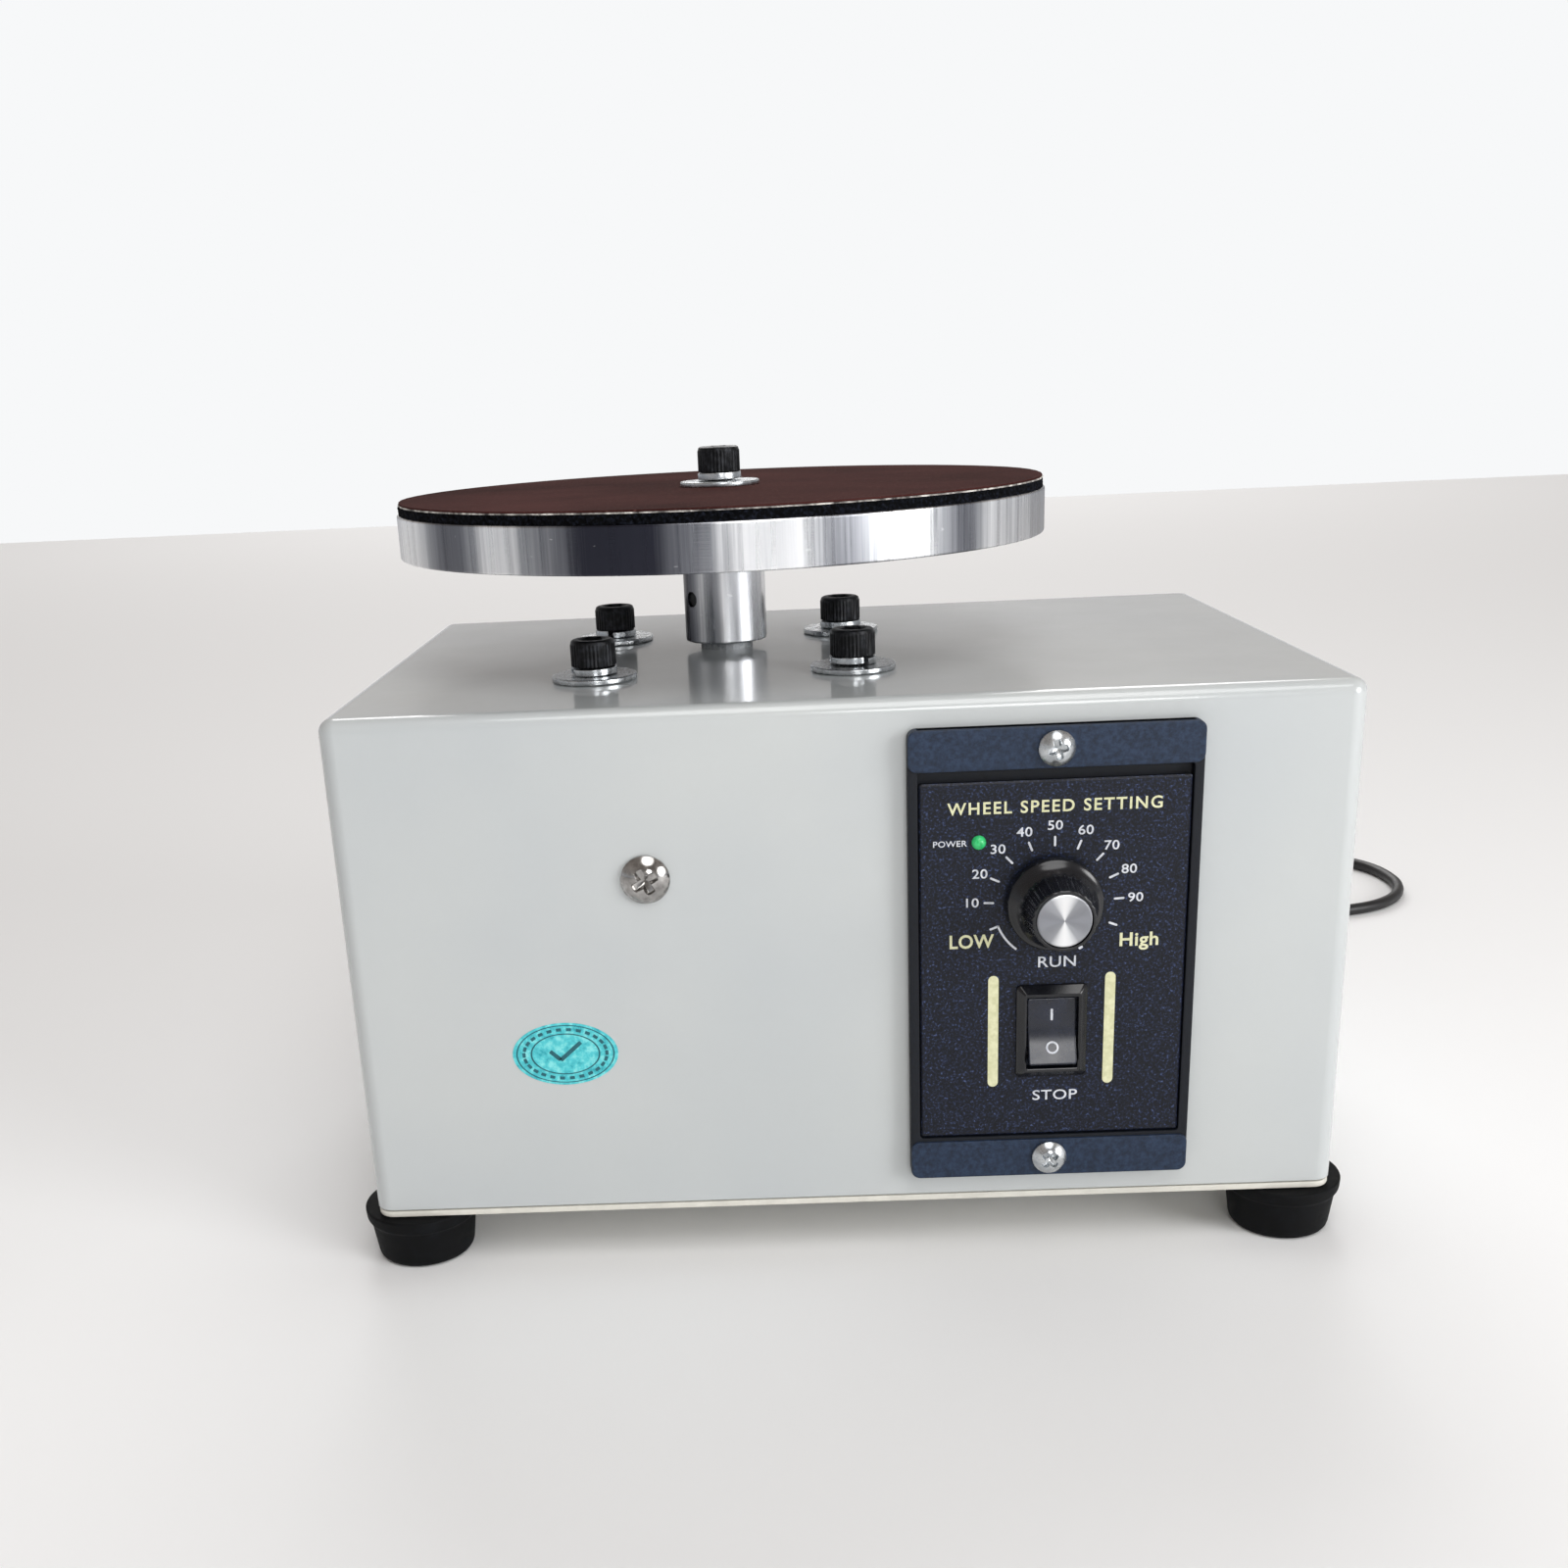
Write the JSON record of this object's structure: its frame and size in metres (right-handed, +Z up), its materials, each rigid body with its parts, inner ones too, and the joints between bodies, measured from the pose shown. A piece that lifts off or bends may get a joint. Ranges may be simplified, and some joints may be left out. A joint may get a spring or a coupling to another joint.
{
  "type": "bench pottery wheel",
  "caption": "Small bench pottery wheel: a cream sheet-metal box with a gear motor and speed controller drives a flat aluminium wheel head with a grippy brown face.",
  "frame": {"origin": "on the surface the feet stand on, under the middle of the machine without its mains lead", "axes": "+X to the right of someone facing the controls, +Y to the back, +Z up along the wheel's axis"},
  "size_m": [0.3297, 0.3099, 0.1739],
  "materials": {
    "cream_paint": "gloss",
    "grey_paint": "satin",
    "rubber": "matte",
    "bright_zinc": "satin",
    "black_screw": "satin",
    "cast_aluminium": "matte",
    "motor_paint": "satin",
    "steel": "satin",
    "copper_wire": "gloss",
    "turned_aluminium": "brushed",
    "hook_fabric": "matte",
    "grit_sheet": "matte",
    "black_plastic": "matte",
    "panel_plastic": "satin",
    "gloss_black_plastic": "gloss",
    "circuit_board": "satin",
    "lamp_lens": "gloss",
    "cord_rubber": "satin"
  },
  "bodies": {
    "housing": {"housing_cover": "cream_paint", "base_plate": "grey_paint", "foot_front_left": "rubber", "foot_front_right": "rubber", "foot_back_left": "rubber", "foot_back_right": "rubber", "foot_screw_front_left": "bright_zinc", "foot_screw_front_right": "bright_zinc", "foot_screw_back_left": "bright_zinc", "foot_screw_back_right": "bright_zinc", "front_screw": "bright_zinc", "run_capacitor": "black_plastic", "gearbox_housing": "cast_aluminium", "motor_flange": "cast_aluminium", "motor_can": "motor_paint", "motor_end_cap": "cast_aluminium", "motor_stator": "steel", "stator_winding": "copper_wire", "output_bearing": "steel", "motor_bearing_upper": "steel", "motor_bearing_lower": "steel", "motor_screw_front_left": "black_screw", "motor_screw_front_right": "black_screw", "motor_screw_back_left": "black_screw", "motor_screw_back_right": "black_screw", "motor_washer_front_left": "bright_zinc", "motor_washer_front_right": "bright_zinc", "motor_washer_back_left": "bright_zinc", "motor_washer_back_right": "bright_zinc", "controller_frame": "panel_plastic", "controller_plate": "black_plastic", "controller_case": "black_plastic", "circuit_board": "circuit_board", "potentiometer": "steel", "switch_frame": "gloss_black_plastic", "run_lamp": "lamp_lens", "panel_screw_upper": "bright_zinc", "panel_screw_lower": "bright_zinc", "cable_gland": "cord_rubber", "power_cord": "cord_rubber", "cord_coil": "cord_rubber", "power_cord_tail": "cord_rubber", "power_plug": "cord_rubber"},
    "wheel": {"wheel_disc": "turned_aluminium", "hook_pad": "hook_fabric", "grip_sheet": "grit_sheet", "wheel_hub": "turned_aluminium", "hub_set_screw": "black_screw", "centre_washer": "bright_zinc", "centre_screw": "black_screw", "output_shaft": "steel", "output_gear": "steel"},
    "layshaft": {"layshaft": "steel", "layshaft_gear": "steel"},
    "rotor": {"rotor_core": "cast_aluminium", "motor_shaft": "steel"},
    "knob": {"speed_knob": "gloss_black_plastic", "knob_cap": "turned_aluminium", "potentiometer_shaft": "steel"},
    "rocker": {"switch_rocker": "gloss_black_plastic"}
  },
  "joints": [
    {"name": "wheel_spin", "type": "hinge", "parent": "housing", "child": "wheel", "pos_m": [-0.024, 0.009, 0.15], "axis": [0, 0, 1], "continuous": true},
    {"name": "layshaft_spin", "type": "hinge", "parent": "housing", "child": "layshaft", "pos_m": [-0.0072, -0.00327, 0.105], "axis": [0, 0, 1], "continuous": true},
    {"name": "rotor_spin", "type": "hinge", "parent": "housing", "child": "rotor", "pos_m": [-0.024, -0.003, 0.055], "axis": [0, 0, 1], "continuous": true},
    {"name": "knob_turn", "type": "hinge", "parent": "housing", "child": "knob", "pos_m": [0.0434, -0.077, 0.0827], "axis": [0, 1, 0], "range_deg": [-300, 0]},
    {"name": "switch_rock", "type": "hinge", "parent": "housing", "child": "rocker", "pos_m": [0.0434, -0.0727, 0.0539], "axis": [1, 0, 0], "range_deg": [0, 24]}
  ],
  "couplings": [
    {"joint": "layshaft_spin", "follows": "wheel_spin", "ratio": -3.3333},
    {"joint": "rotor_spin", "follows": "wheel_spin", "ratio": 8.3333}
  ]
}
